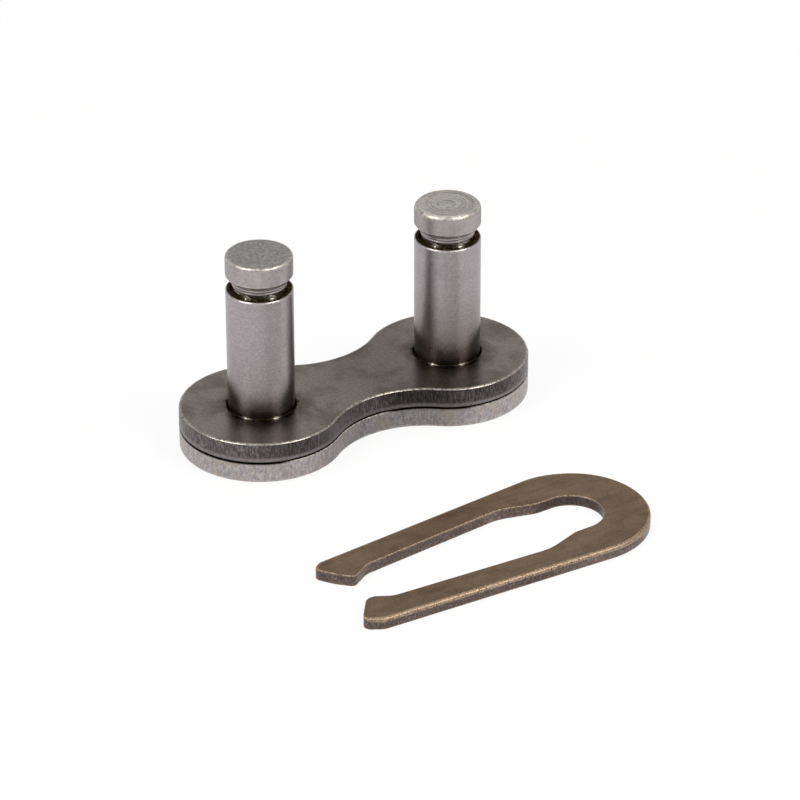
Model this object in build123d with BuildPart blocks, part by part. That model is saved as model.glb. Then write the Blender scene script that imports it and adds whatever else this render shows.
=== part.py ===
from build123d import *

import math
import os

os.makedirs("parts", exist_ok=True)

# A half-inch connecting link. Millimetres, +Z up along the pins, X through both pins.
# The origin is on the underside of the fixed plate, halfway between the pins.

# pins
PITCH = 12.7  # pin centre to pin centre
PIN_R = 1.98  # shank and head
NECK_R = 1.60  # bottom of the clip groove
NECK_HEIGHT = 0.45  # straight part of the neck, above the shoulder
BEVEL_HEIGHT = 0.53  # cone from the neck out to the underside of the head
HEAD_HEIGHT = 1.21
LEFT_HEAD_ROUND = 0.17
RIGHT_HEAD_ROUND = 0.24
SHOULDER_CHAMFER = 0.05
FOOT_CHAMFER = 0.12  # on the pressed end, flush with the plate

# plates
PLATE_T = 1.27
LOBE_R = 4.87  # round end about each pin
WAIST_HALF = 2.67  # half the height of the plate at its waist
TOP_ROUND = 0.13  # die roll round the top of the cover plate
UNDER_CHAMFER = 0.11  # round the underside of the fixed plate
INNER_CHAMFER = 0.05  # broken edges on the faces against the chain
HOLE_CHAMFER = 0.10  # mouths of the cover plate's holes
INNER_WIDTH = 7.63  # space between the plates on the chain

# fits
RUNNING = 0.05  # the cover plate's holes are larger by this on the radius
CLIP_PLAY = 0.05  # from the cover plate in use up to the groove

# spring clip, about the centre of its round seat, closed end towards +X
CLIP_T = 0.70
CLIP_X = 4.20  # where the seat lies
CLIP_Y = -17.17
CLIP_TURN = 3.3  # degrees about the seat
END_R = 4.54  # outside of the closed end
SEAT_R = 1.88  # inside of the closed end
LEG_TAPER = 3.8  # degrees, outer side of a leg to the clip's axis
BORE_TAPER = 4.5  # degrees, inner side of a leg to the clip's axis
THROAT_BACK = 1.07  # straight throat behind the seat's centre
FLARE_BACK = 3.29  # where the flare behind the throat reaches the leg
FLARE_HALF = 2.56  # half the gap there
HOOK_REACH = 1.25  # the hook leaves the leg this far ahead of its inner point
LEG_BACK = 15.44  # end corner of the far leg, behind the seat's centre
NEAR_LONGER = 0.73  # the near leg goes this much further
TIP_IN = 0.59  # end corners, in from the legs' outer sides
FAR_HOOK = (1.45, 1.10)  # inner point of the hook: ahead of the end corner, and from the clip's axis
NEAR_HOOK = (1.52, 1.04)
FAR_HEEL = 0.37  # outer corner of the tip, ahead of the end corner
NEAR_HEEL = 1.04
THROAT_ROUND = 1.0
FLARE_ROUND = 3.0
ROOT_ROUND = 1.5
HOOK_ROUND = 0.45
TIP_ROUND = 0.30
HEEL_ROUND = 0.50
CLIP_ROUND = 0.20  # die roll round the outside of the clip
PAST_TIP = 0.08  # the die roll starts this far outside the tips' corners

# levels that follow
COVER_Z = PLATE_T
SHOULDER_Z = PLATE_T + INNER_WIDTH + PLATE_T + CLIP_PLAY
NECK_Z = SHOULDER_Z + NECK_HEIGHT
HEAD_Z = NECK_Z + BEVEL_HEIGHT
TOP_Z = HEAD_Z + HEAD_HEIGHT
HALF_PITCH = PITCH / 2


def turned_pin(centre_x, head_round):
    """One grooved pin standing on z = 0 at centre_x."""
    section = Plane(origin=(centre_x, 0, 0), x_dir=(1, 0, 0), z_dir=(0, -1, 0))
    with BuildPart() as pin:
        with BuildSketch(section):
            with BuildLine():
                Polyline(
                    (0, 0),
                    (PIN_R - FOOT_CHAMFER, 0),
                    (PIN_R, FOOT_CHAMFER),
                    (PIN_R, SHOULDER_Z - SHOULDER_CHAMFER),
                    (PIN_R - SHOULDER_CHAMFER, SHOULDER_Z),
                    (NECK_R, SHOULDER_Z),
                    (NECK_R, NECK_Z),
                    (PIN_R, HEAD_Z),
                    (PIN_R, TOP_Z),
                    (0, TOP_Z),
                    close=True,
                )
            make_face()
        revolve(axis=Axis((centre_x, 0, 0), (0, 0, 1)))
        fillet(pin.faces().sort_by(Axis.Z)[-1].edges(), head_round)
    return pin.part


def waisted_plate(bottom_z, hole_r):
    """One side plate: round ends about the pins, joined by hollow arcs that meet them smoothly."""
    waist_r = (HALF_PITCH**2 + WAIST_HALF**2 - LOBE_R**2) / (2 * (LOBE_R - WAIST_HALF))
    share = LOBE_R / (LOBE_R + waist_r)
    meet_x = HALF_PITCH * (1 - share)
    meet_y = (WAIST_HALF + waist_r) * share
    end_x = HALF_PITCH + LOBE_R
    with BuildPart() as plate:
        with BuildSketch(Plane.XY.offset(bottom_z)):
            with BuildLine():
                ThreePointArc((meet_x, -meet_y), (end_x, 0), (meet_x, meet_y))
                ThreePointArc((meet_x, meet_y), (0, WAIST_HALF), (-meet_x, meet_y))
                ThreePointArc((-meet_x, meet_y), (-end_x, 0), (-meet_x, -meet_y))
                ThreePointArc((-meet_x, -meet_y), (0, -WAIST_HALF), (meet_x, -meet_y))
            make_face()
            with Locations((-HALF_PITCH, 0), (HALF_PITCH, 0)):
                Circle(hole_r, mode=Mode.SUBTRACT)
        extrude(amount=PLATE_T)
    return plate.part


def outer_half(back):
    """Distance from the clip's axis to a leg's outer side, this far behind the seat's centre."""
    taper = math.radians(LEG_TAPER)
    return (END_R - back * math.sin(taper)) / math.cos(taper)


def leg_corners(tip_back, hook, heel, side):
    """Corners of one leg of the clip, from its outside round the tip to the throat, with their roundings."""
    hook_ahead, hook_half = hook
    tip_half = outer_half(tip_back) - TIP_IN
    heel_back = tip_back - heel
    hook_back = tip_back - hook_ahead
    root_back = hook_back - HOOK_REACH
    root_half = FLARE_HALF - (root_back - FLARE_BACK) * math.tan(math.radians(BORE_TAPER))
    return [
        ((-heel_back, side * outer_half(heel_back)), HEEL_ROUND),
        ((-tip_back, side * tip_half), TIP_ROUND),
        ((-hook_back, side * hook_half), HOOK_ROUND),
        ((-root_back, side * root_half), ROOT_ROUND),
        ((-FLARE_BACK, side * FLARE_HALF), FLARE_ROUND),
        ((-THROAT_BACK, side * SEAT_R), THROAT_ROUND),
    ]


with BuildPart() as fixed_plate:
    add(waisted_plate(0, PIN_R))
    chamfer(fixed_plate.faces().sort_by(Axis.Z)[0].outer_wire().edges(), UNDER_CHAMFER)
    chamfer(fixed_plate.faces().sort_by(Axis.Z)[-1].outer_wire().edges(), INNER_CHAMFER)

with BuildPart() as cover_plate:
    add(waisted_plate(COVER_Z, PIN_R + RUNNING))
    fillet(cover_plate.faces().sort_by(Axis.Z)[-1].outer_wire().edges(), TOP_ROUND)
    chamfer(cover_plate.faces().sort_by(Axis.Z)[0].outer_wire().edges(), INNER_CHAMFER)
    hole_mouths = cover_plate.faces().sort_by(Axis.Z)[-1].inner_wires()
    chamfer([mouth.edges() for mouth in hole_mouths], HOLE_CHAMFER)

with BuildPart() as left_pin:
    add(turned_pin(-HALF_PITCH, LEFT_HEAD_ROUND))

with BuildPart() as right_pin:
    add(turned_pin(HALF_PITCH, RIGHT_HEAD_ROUND))

far_leg = leg_corners(LEG_BACK, FAR_HOOK, FAR_HEEL, 1)
near_leg = leg_corners(LEG_BACK + NEAR_LONGER, NEAR_HOOK, NEAR_HEEL, -1)
rolled_half = outer_half(LEG_BACK) - TIP_IN + PAST_TIP
end_angle = math.radians(90 + LEG_TAPER)
end_back = END_R * math.cos(end_angle)
end_half = END_R * math.sin(end_angle)

turn = math.radians(CLIP_TURN)
clip_plane = Plane(
    origin=(CLIP_X, CLIP_Y, 0), x_dir=(math.cos(turn), math.sin(turn), 0), z_dir=(0, 0, 1)
)


def on_outside(edge):
    """True for an edge round the outside of the clip: the closed end, the legs' outer sides and heels."""
    middle = clip_plane.to_local_coords(edge @ 0.5)
    return abs(middle.Y) > rolled_half or middle.X > (SEAT_R + END_R) / 2


with BuildPart() as spring_clip:
    with BuildSketch(clip_plane) as clip_outline:
        with BuildLine():
            ThreePointArc((end_back, -end_half), (END_R, 0), (end_back, end_half))
            Polyline((end_back, end_half), *[corner for corner, _ in far_leg], (0, SEAT_R))
            ThreePointArc((0, SEAT_R), (SEAT_R, 0), (0, -SEAT_R))
            Polyline((end_back, -end_half), *[corner for corner, _ in near_leg], (0, -SEAT_R))
        make_face()
        for corner, rounding in far_leg + near_leg:
            fillet(clip_outline.vertices().sort_by_distance(corner)[0], rounding)
    extrude(amount=CLIP_T)
    rim = spring_clip.faces().sort_by(Axis.Z)[-1].edges().filter_by(on_outside)
    fillet(rim, CLIP_ROUND)

fixed_plate.part.label = "fixed_plate"
cover_plate.part.label = "cover_plate"
left_pin.part.label = "left_pin"
right_pin.part.label = "right_pin"
spring_clip.part.label = "spring_clip"

export_step(fixed_plate.part, "parts/fixed_plate.step")
export_step(cover_plate.part, "parts/cover_plate.step")
export_step(left_pin.part, "parts/left_pin.step")
export_step(right_pin.part, "parts/right_pin.step")
export_step(spring_clip.part, "parts/spring_clip.step")
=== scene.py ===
import bmesh
import bpy
from math import atan2, ceil, cos, degrees, exp, pi, radians, sin, tan
from mathutils import Matrix, Vector


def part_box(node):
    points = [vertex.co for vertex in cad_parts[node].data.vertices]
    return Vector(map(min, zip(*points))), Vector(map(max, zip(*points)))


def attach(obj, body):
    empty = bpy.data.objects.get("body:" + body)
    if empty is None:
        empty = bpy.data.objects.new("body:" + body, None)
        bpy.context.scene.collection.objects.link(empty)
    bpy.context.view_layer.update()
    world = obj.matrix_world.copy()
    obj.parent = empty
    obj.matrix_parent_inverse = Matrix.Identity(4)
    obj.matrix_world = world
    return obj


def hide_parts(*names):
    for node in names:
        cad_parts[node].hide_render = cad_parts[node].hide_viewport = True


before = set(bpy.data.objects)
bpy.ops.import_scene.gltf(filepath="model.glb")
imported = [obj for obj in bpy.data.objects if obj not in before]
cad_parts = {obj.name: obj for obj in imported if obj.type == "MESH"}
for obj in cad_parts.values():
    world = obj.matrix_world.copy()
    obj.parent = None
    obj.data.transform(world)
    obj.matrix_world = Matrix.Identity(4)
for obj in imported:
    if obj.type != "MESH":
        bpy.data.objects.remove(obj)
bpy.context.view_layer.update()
scene = bpy.context.scene
scene.view_settings.view_transform = "Standard"
mm = 0.001  # sizes below are in millimetres
print("frame loaded:", ", ".join(sorted(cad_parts)))


def boxOf(nodeName):
    low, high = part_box(nodeName)
    return Vector(low) / mm, Vector(high) / mm


# building nodes

class Wire:  # an output in a node tree; sums with it make Math nodes
    def __init__(self, tree, socket):
        self.tree, self.socket = tree, socket

    def __add__(self, other):
        return calc("ADD", self, other)

    def __sub__(self, other):
        return calc("SUBTRACT", self, other)

    def __rsub__(self, other):
        return calc("SUBTRACT", other, self)

    def __mul__(self, other):
        return calc("MULTIPLY", self, other)

    def __truediv__(self, other):
        return calc("DIVIDE", self, other)

    def __rtruediv__(self, other):
        return calc("DIVIDE", other, self)

    def __abs__(self):
        return calc("ABSOLUTE", self)


def wires(tree, sockets):  # outputs by number, and those in use by name
    byNumber = {i: Wire(tree, socket) for i, socket in enumerate(sockets)}
    return byNumber | {socket.name: Wire(tree, socket) for socket in sockets if socket.enabled}


def put(value, socket):
    if isinstance(value, Wire):
        value.tree.links.new(value.socket, socket)
    else:
        socket.default_value = value


def addNode(tree, kind, inputs=None, **settings):
    made = tree.nodes.new(kind)
    for name, value in settings.items():
        setattr(made, name, value)
    for name, value in (inputs or {}).items():
        if isinstance(name, str):
            put(value, next(socket for socket in made.inputs if socket.name == name and socket.enabled))
        else:
            put(value, made.inputs[name])
    return wires(tree, made.outputs)


def treeOf(*values):
    return next(value.tree for value in values if isinstance(value, Wire))


def calc(operation, *values):
    return addNode(treeOf(*values), "ShaderNodeMath", dict(enumerate(values)), operation=operation)[0]


def moveBy(operation, vector, values):  # the same for a vector; one number scales it
    inputs = {0: vector, (1 if isinstance(values, tuple) else "Scale"): values}
    return addNode(vector.tree, "ShaderNodeVectorMath", inputs, operation=operation)[0]


def split(vector):
    return addNode(vector.tree, "ShaderNodeSeparateXYZ", {0: vector})


def joined(x, y, z):
    return addNode(x.tree, "ShaderNodeCombineXYZ", {0: x, 1: y, 2: z})[0]


def noiseOf(dimensions, **inputs):
    tree = treeOf(*inputs.values())
    return addNode(tree, "ShaderNodeTexNoise", inputs, noise_dimensions=dimensions)["Fac"]


def span(value, low, high):  # 0 at low, 1 at high
    ends = {"Value": value, "From Min": low, "From Max": high}
    return addNode(value.tree, "ShaderNodeMapRange", ends, interpolation_type="SMOOTHSTEP")["Result"]


def near(value, centre, inner, outer):  # 1 within inner of the centre, 0 beyond outer
    return span(abs(value - centre), outer, inner)


def blend(share, first, second, mode="MIX"):
    first, second = ((*colour, 1.0) if isinstance(colour, tuple) else colour for colour in (first, second))
    tree = treeOf(share, first, second)
    inputs = {"Factor": share, "A": first, "B": second}
    return addNode(tree, "ShaderNodeMix", inputs, data_type="RGBA", blend_type=mode)["Result"]


def blendValue(share, first, second):
    return addNode(share.tree, "ShaderNodeMix", {0: share, 2: first, 3: second}, data_type="FLOAT")[0]


def newGroup(name, treeType, inputs, outputs):  # an input has its kind or its default value
    tree = bpy.data.node_groups.new(name, treeType)
    for label, value in inputs.items():
        kind = value if isinstance(value, str) else "Int" if isinstance(value, int) else "Float"
        socket = tree.interface.new_socket(label, in_out="INPUT", socket_type="NodeSocket" + kind)
        if kind != value:
            socket.default_value = value
    for label in outputs:
        kind = "Geometry" if label == "Geometry" else "Float"
        tree.interface.new_socket(label, in_out="OUTPUT", socket_type="NodeSocket" + kind)
    given = tree.nodes.new("NodeGroupInput")
    result = tree.nodes.new("NodeGroupOutput")
    return tree, wires(tree, given.outputs), result.inputs


def useGroup(group, vector, **values):
    return addNode(vector.tree, "ShaderNodeGroup", {"Vector": vector, **values}, node_tree=group)


# effects that several finishes use

def makeGrain():  # fine speckle of bare steel
    inputs = {"Vector": "Vector", "Size": 0.08, "Contrast": 0.5}
    tree, given, result = newGroup("fineGrain", "ShaderNodeTree", inputs, ("Value", "Height"))
    scale = 1 / mm / given["Size"]
    speckle = noiseOf("3D", Vector=given["Vector"], Scale=scale, Detail=3.0, Roughness=0.6)
    put((speckle - 0.5) * given["Contrast"] + 0.5, result["Value"])
    put(speckle, result["Height"])
    return tree


def makeMottle():  # broad soft patches of colour
    inputs = {"Vector": "Vector", "Size": 2.0, "Low": 0.35, "High": 0.65}
    tree, given, result = newGroup("mottle", "ShaderNodeTree", inputs, ("Mask",))
    scale = 1 / mm / given["Size"]
    patches = noiseOf("3D", Vector=given["Vector"], Scale=scale, Detail=4.0, Roughness=0.55, Distortion=0.4)
    put(span(patches, given["Low"], given["High"]), result["Mask"])
    return tree


def makeShear():  # upright marks that a punch leaves down a cut edge
    inputs = {"Vector": "Vector", "Normal": "Vector", "Width": 0.12, "Length": 1.5}
    tree, given, result = newGroup("shearMarks", "ShaderNodeTree", inputs, ("Value", "Wall"))
    across = 1 / mm / given["Width"]
    along = 1 / mm / given["Length"]
    parts = split(given["Vector"])
    place = joined(parts["X"] * across, parts["Y"] * across, parts["Z"] * along)
    put(noiseOf("3D", Vector=place, Scale=1.0, Detail=3.0, Roughness=0.65), result["Value"])
    put(span(abs(split(given["Normal"])["Z"]), 0.75, 0.25), result["Wall"])
    return tree


def makeTurning():  # rings that a lathe or grinder leaves round an upright axis
    inputs = {"Vector": "Vector", "Centre": 0.0, "Pitch": 0.1}
    tree, given, result = newGroup("turningMarks", "ShaderNodeTree", inputs, ("Value", "Radius", "Level"))
    parts = split(given["Vector"])
    offAxis = parts["X"] - given["Centre"] * mm
    radius = calc("SQRT", offAxis * offAxis + parts["Y"] * parts["Y"]) / mm
    level = parts["Z"] / mm
    turn = calc("ARCTAN2", parts["Y"], offAxis)
    place = joined(radius / given["Pitch"], level / given["Pitch"], turn * 0.35)
    put(noiseOf("3D", Vector=place, Scale=1.0, Detail=3.0, Roughness=0.6), result["Value"])
    put(radius, result["Radius"])
    put(level, result["Level"])
    return tree


fineGrain = makeGrain()
mottle = makeMottle()
shearMarks = makeShear()
turningMarks = makeTurning()
print("effect groups made")


# finishes

def newMaterial(name, roughness):
    material = bpy.data.materials.new(name)
    material.use_nodes = True
    shader = material.node_tree.nodes["Principled BSDF"]
    shader.inputs["Roughness"].default_value = roughness
    return material, material.node_tree, shader


def newSteel(name, roughness, anisotropic=0.0, turned=0.0, edgeOn=1.0):  # edgeOn dulls what is seen aslant
    material, tree, shader = newMaterial(name, roughness)
    shader.inputs["Metallic"].default_value = 1.0
    shader.inputs["Anisotropic"].default_value = anisotropic
    shader.inputs["Anisotropic Rotation"].default_value = turned
    shader.inputs["Specular Tint"].default_value = (edgeOn, edgeOn, edgeOn, 1.0)
    coords = addNode(tree, "ShaderNodeTexCoord")
    return material, tree, shader, coords


def marked(tree, attribute):  # marks kept on the mesh: one for worn edges and painted highlight, one for dirt and painted shade in the seam
    return addNode(tree, "ShaderNodeAttribute", attribute_name=attribute)["Fac"]


def shaded(colour, shade):  # a colour made lighter or darker by a value near 1
    grey = addNode(shade.tree, "ShaderNodeCombineColor", {0: shade, 1: shade, 2: shade})[0]
    return blend(1.0, colour, grey, "MULTIPLY")


def putColour(tree, shader, base, grain, look):  # the base under its worn edges with painted highlight, and its dirty edges with painted shade
    wearAndHighlight = marked(tree, "rim") * span(grain["Height"], 0.32, 0.60)
    base = blend(wearAndHighlight * look["rimShare"], base, look["rim"])
    base = blend(marked(tree, "grimeAndShade"), base, look["grimeAndShade"])
    put(base, shader.inputs["Base Color"])


def putBump(tree, shader, height, strength, distance):
    inputs = {"Height": height, "Strength": strength, "Distance": distance * mm}
    put(addNode(tree, "ShaderNodeBump", inputs)["Normal"], shader.inputs["Normal"])


plateFinish = {
    "coverTop": (0.305, 0.271, 0.248), "coverWarm": (0.190, 0.162, 0.134),
    "stain": (0.085, 0.070, 0.046), "stainReach": 0.75, "stainAndReflectionAhead": 0.9, "film": (0.010, 0.008, 0.004),
    "filmReach": (-0.12, 0.34),  # beyond the hole's edge at the least, and how much more in patches
    "coverWall": (0.050, 0.041, 0.041), "coverWallLight": (0.124, 0.107, 0.107),
    "coverBand": (0.125, 0.108, 0.110), "bandTop": 0.24, "bandRagged": 0.30, "bandSoft": 0.10,
    # the cover wall's tone along its length is painted light and shade: lighter toward the lobes' ends,
    # darker right of the waist
    "lobeWallLight": 0.8, "lobeWallLightFrom": (7.0, 10.0), "lobeBandLight": 0.8, "lobeBandLightFrom": (3.5, 6.5),
    "wallShadeAt": 2.4, "wallShadeReach": (0.8, 2.8), "wallShade": 0.55,
    "fixedTop": (0.240, 0.215, 0.200), "fixedWall": (0.460, 0.423, 0.430),
    "fixedWallDark": (0.290, 0.264, 0.268), "fixedWarm": (0.420, 0.355, 0.300),
    "waistShade": 0.43, "waistShadeReach": (3.0, 6.5),  # painted shade in the hollow of the waist
    "handledAt": 2.2, "handledReach": (1.0, 6.0), "handled": 0.26,  # where fingers have dulled the plate
    # the pale edge colour is painted highlight with some wear; the near-black one is dirt, and painted shade
    # in the seam between the plates
    "rim": (0.58, 0.53, 0.48), "rimShare": 1.0, "grimeAndShade": (0.006, 0.005, 0.004), "grimeAndShadeRough": 0.9,
    "grain": 0.17, "roughness": 0.29,
}


def makeCoverSteel(lowLevel, thickness, halfPitch, holeRadius):
    look = plateFinish
    material, tree, shader, coords = newSteel("coverSteel", look["roughness"])
    place = coords["Object"]
    parts = split(place)
    along = parts["X"] / mm
    grain = useGroup(fineGrain, place, Size=look["grain"], Contrast=1.5)
    patch = useGroup(mottle, place, Size=2.4, Low=0.42, High=0.66)
    smear = useGroup(mottle, place, Size=0.55, Low=0.30, High=0.66)
    shear = useGroup(shearMarks, place, Normal=coords["Normal"], Width=0.09, Length=0.40)
    top = blend(patch["Mask"], look["coverTop"], look["coverWarm"])
    handled = near(along, look["handledAt"], *look["handledReach"])
    top = shaded(top, 1 - handled * look["handled"])
    ahead = span(parts["Y"], 0.0, -holeRadius * mm)
    for side in (-1, 1):  # oil that has crept out of the holes, reaching further on the near side as a painted dark reflection of the pin
        hole = useGroup(turningMarks, place, Centre=side * halfPitch, Pitch=0.3)
        reach = ahead * look["stainAndReflectionAhead"] + look["stainReach"] + holeRadius
        share = (reach - hole["Radius"]) / (reach - holeRadius)
        soaked = span(share, 0.0, 1.0) * (smear["Mask"] * 0.5 + 0.5)
        top = blend(soaked, top, look["stain"])
        edge = smear["Mask"] * look["filmReach"][1] + holeRadius + look["filmReach"][0]
        top = blend(span(hole["Radius"] - edge, 0.10, -0.10), top, look["film"])
    wall = blend(span(shear["Value"], 0.40, 0.68), look["coverWall"], look["coverWallLight"])
    # painted light toward the lobes' ends and painted shade right of the waist, on the wall and its lower
    # band
    wall = shaded(wall, span(abs(along), *look["lobeWallLightFrom"]) * look["lobeWallLight"] + 1.0)
    wall = shaded(wall, 1 - near(along, look["wallShadeAt"], *look["wallShadeReach"]) * look["wallShade"])
    lowBand = shaded(look["coverBand"], span(abs(along), *look["lobeBandLightFrom"]) * look["lobeBandLight"] + 1.0)
    ragged = (shear["Value"] - 0.5) * (look["bandRagged"] * mm) + parts["Z"]
    bandEdge, soft = (lowLevel + look["bandTop"] * thickness) * mm, look["bandSoft"] * mm
    wall = blend(span(ragged, bandEdge + soft, bandEdge - soft), wall, lowBand)
    base = blend(shear["Wall"], top, wall)
    base = shaded(base, grain["Value"] * 0.7 + 0.65)
    putColour(tree, shader, base, grain, look)
    rough = shear["Wall"] * 0.12 + look["roughness"]
    put(blendValue(marked(tree, "grimeAndShade"), rough, look["grimeAndShadeRough"]), shader.inputs["Roughness"])
    putBump(tree, shader, grain["Height"], 0.05, 0.02)
    return material


def makeFixedSteel():
    look = plateFinish
    material, tree, shader, coords = newSteel("fixedSteel", look["roughness"])
    place = coords["Object"]
    along = split(place)["X"] / mm
    grain = useGroup(fineGrain, place, Size=look["grain"], Contrast=1.5)
    patch = useGroup(mottle, place, Size=0.9, Low=0.44, High=0.68)
    shear = useGroup(shearMarks, place, Normal=coords["Normal"], Width=0.15, Length=0.3)
    flat = blend(patch["Mask"], look["fixedTop"], look["coverWarm"])
    wall = blend(span(shear["Value"], 0.34, 0.66), look["fixedWallDark"], look["fixedWall"])
    wall = blend(patch["Mask"] * 0.7, wall, look["fixedWarm"])
    # painted shade darkens the wall in the waist's hollow
    wall = shaded(wall, 1 - near(along, 0.0, *look["waistShadeReach"]) * look["waistShade"])
    base = blend(shear["Wall"], flat, wall)
    base = shaded(base, grain["Value"] * 0.6 + 0.70)
    putColour(tree, shader, base, grain, look)
    rough = grain["Height"] * 0.14 + look["roughness"] + 0.03
    put(blendValue(marked(tree, "grimeAndShade"), rough, look["grimeAndShadeRough"]), shader.inputs["Roughness"])
    putBump(tree, shader, grain["Height"], 0.12, 0.02)
    return material


pinFinish = {
    "ground": (0.390, 0.348, 0.366), "groundDark": (0.345, 0.307, 0.320), "stain": (0.068, 0.056, 0.034),
    "haze": (0.240, 0.212, 0.195), "hazeReach": 6.0, "footReach": 1.9, "groundRough": 0.38,
    "neck": (0.38, 0.345, 0.34), "neckFoot": (0.032, 0.022, 0.011), "neckRust": (0.085, 0.050, 0.026),
    "neckRough": 0.32, "cone": (0.56, 0.51, 0.505), "coneRough": 0.42, "cutLine": (0.13, 0.11, 0.105),
    "footBlack": (0.020, 0.015, 0.008), "blackTop": 0.45, "footGloss": 0.20,  # dark, shiny oil at the foot
    # the pale edge colour is painted highlight with some wear, on the head's round edge and the groove's
    # edges
    "rim": (0.90, 0.82, 0.71), "rimShare": 0.9, "grimeAndShade": (0.03, 0.025, 0.012),
    "sideStainAndShade": 0.9, "sidesFrom": (1.05, 1.85), "shadeSidesTurn": -30,  # the stain stands higher on the two sides seen edge-on, as painted shade
    "streakHighlightAt": 0.92, "streakHighlightReach": (0.08, 0.45),  # and is thinned in two streaks off the pin's middle, as painted highlight
    "foulTop": 0.34, "foulFull": 0.20, "foulRough": 0.85,  # rusty dirt at the neck's foot
    "faceSpeckle": 0.60, "sideSpeckle": 0.28,  # how strong the grain is on a head
    "fineTurning": 0.07, "broadTurning": 0.17,
}


def makeShankSteel(name, centre, seat, pin):
    look = pinFinish
    material, tree, shader, coords = newSteel(name, look["groundRough"], 0.5, 0.25)
    tangent = addNode(tree, "ShaderNodeTangent", direction_type="RADIAL", axis="Z")
    put(tangent[0], shader.inputs["Tangent"])
    place = coords["Object"]
    parts = split(place)
    turning = useGroup(turningMarks, place, Centre=centre, Pitch=look["fineTurning"])
    grain = useGroup(fineGrain, place, Size=0.14, Contrast=1.6)
    patch = useGroup(mottle, place, Size=1.6, Low=0.35, High=0.75)
    base = blend(patch["Mask"], look["ground"], look["groundDark"])
    level = (patch["Mask"] - 0.5) * 0.35 + turning["Level"]
    hazed = span(level, seat + look["hazeReach"], seat + 0.4)
    base = blend(hazed * pin["haze"], base, look["haze"])
    # the oil stain is raised as painted shade on the two sides seen edge-on, where the black foot is also
    # darker, and thinned in two streaks beside the middle as painted highlight
    turn = radians(look["shadeSidesTurn"])
    alongX = (parts["X"] - centre * mm) * (cos(turn) / mm)
    aside = abs(parts["Y"] * (sin(turn) / mm) + alongX)
    higher = span(aside, *look["sidesFrom"])
    foot = span(level - higher * look["sideStainAndShade"], seat + look["footReach"], seat + 0.1)
    offHighlight = 1 - near(aside, look["streakHighlightAt"], *look["streakHighlightReach"]) * pin["streakHighlight"]
    base = blend(foot * pin["footStain"] * offHighlight, base, look["stain"])
    uneven = turning["Level"] - patch["Mask"] * 0.40
    black = span(uneven, seat + look["blackTop"], seat) * (higher * 0.5 + 0.5)
    base = blend(black * offHighlight, base, look["footBlack"])
    base = shaded(base, turning["Value"] * 0.34 + 0.83)
    base = shaded(base, grain["Value"] * 0.45 + 0.775)
    putColour(tree, shader, base, grain, look)
    rough = grain["Height"] * 0.10 + look["groundRough"] - 0.05
    put(rough - foot * look["footGloss"], shader.inputs["Roughness"])
    putBump(tree, shader, turning["Value"], 0.04, 0.01)
    return material


def makeHeadSteel(name, centre, shoulder, neckTop, headLow, top, head):
    look = pinFinish
    material, tree, shader, coords = newSteel(name, head["rough"], edgeOn=head["edgeOn"])
    place = coords["Object"]
    turning = useGroup(turningMarks, place, Centre=centre, Pitch=look["fineTurning"])
    grain = useGroup(fineGrain, place, Size=0.2, Contrast=head["grain"])
    patch = useGroup(mottle, place, Size=1.2, Low=0.35, High=0.75)
    facing = useGroup(turningMarks, place, Centre=centre, Pitch=look["broadTurning"])
    onCone = span(turning["Level"], neckTop - 0.05, neckTop + 0.15)
    onHead = span(turning["Level"], headLow - 0.10, headLow + 0.02)
    # the downward bevel gets a lighter colour than the neck: painted light
    base = blend(onCone, look["neck"], look["cone"])
    # dark lines at the bottoms of the neck's cuts: dirt, and painted shade in the grooves
    turn = calc("SINE", turning["Level"] * (2 * pi / pinSizes["groovePitch"]))
    base = blend(span(turn, 0.1, 0.95) * head["cuts"], base, look["cutLine"])
    foul = blend(span(grain["Height"], 0.45, 0.62), look["neckFoot"], look["neckRust"])
    uneven = patch["Mask"] * 0.12 + turning["Level"]
    fouled = span(uneven, shoulder + look["foulTop"], shoulder + look["foulFull"])
    base = blend(fouled, base, foul)
    base = blend(onHead, base, head["side"])
    onTop = span(turning["Level"], top - 0.06, top - 0.03)
    base = blend(onTop, base, head["face"])
    cut = (facing["Value"] - 0.5) * head["facing"]
    base = shaded(base, cut * onTop + 1.0)
    base = shaded(base, turning["Value"] * head["rings"] + (1 - head["rings"] / 2))
    speckle = blendValue(onTop, look["sideSpeckle"], look["faceSpeckle"])
    base = shaded(base, (grain["Value"] - 0.5) * speckle + 1.0)
    base = shaded(base, 1.04 - patch["Mask"] * 0.12)
    putColour(tree, shader, base, grain, look)
    rough = grain["Height"] * 0.12 + head["rough"] - 0.06
    rough = blendValue(onHead, blendValue(onCone, look["neckRough"], look["coneRough"]), rough)
    rough = blendValue(fouled, rough, look["foulRough"])
    rough = blendValue(onTop, rough, head["faceRough"])
    put(blendValue(marked(tree, "rim"), rough, head["rimRough"]), shader.inputs["Roughness"])
    height = turning["Value"] * head["rings"] + grain["Height"]
    putBump(tree, shader, height, head["bump"], 0.01)
    return material


clipFinish = {
    "bronze": (0.268, 0.184, 0.112), "bronzeDark": (0.200, 0.137, 0.084), "side": (0.100, 0.073, 0.066),
    # the tan edge colour is painted highlight with some wear, along the die-rolled outer edge
    "sideLight": (0.200, 0.155, 0.138), "rim": (0.56, 0.42, 0.295), "rimShare": 0.75, "rimRough": 0.52,
    "grimeAndShade": (0.02, 0.016, 0.014), "grain": 0.09, "streak": 0.26, "streakWidth": 0.45, "roughness": 0.30,
    "seatDarkening": 0.42, "seatReach": (0.1, 0.6),  # the seat's wall is darker
    "endLightening": 0.35, "endReach": (0.1, 0.9),  # the closed end's outer wall is lighter
    "drawn": (0.2, 1.0, 1.0),  # streaks along the strip
}


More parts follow.
